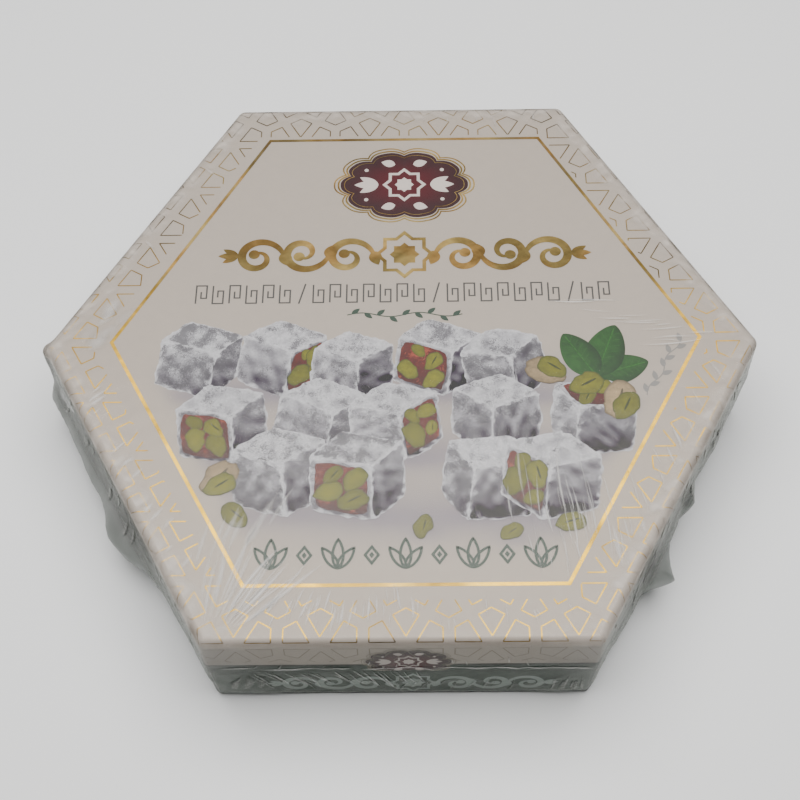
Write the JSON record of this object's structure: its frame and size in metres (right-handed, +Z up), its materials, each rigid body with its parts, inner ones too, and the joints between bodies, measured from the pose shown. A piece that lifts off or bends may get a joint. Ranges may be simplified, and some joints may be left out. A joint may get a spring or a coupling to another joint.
{
  "type": "gift box of turkish delight",
  "caption": "Shut hexagonal carton of Turkish delight: white lift-off lid with gold foil print over a dark green base, wrapped in clear shrink film.",
  "frame": {"origin": "middle of the flat underside, below the centre of the hexagon", "axes": "+Z up through the lid; X through two opposite corners; -Y towards the front side, which carries the small medallion"},
  "size_m": [0.2237, 0.2006, 0.0412],
  "materials": {
    "green_board": "dark green printed carton board",
    "white_board": "coated white carton board with gold foil print",
    "clear_film": "thin clear shrink film, glossy and creased"
  },
  "bodies": {
    "root": {"base": "green_board", "lid": "white_board", "film_wrap": "clear_film"}
  },
  "joints": []
}
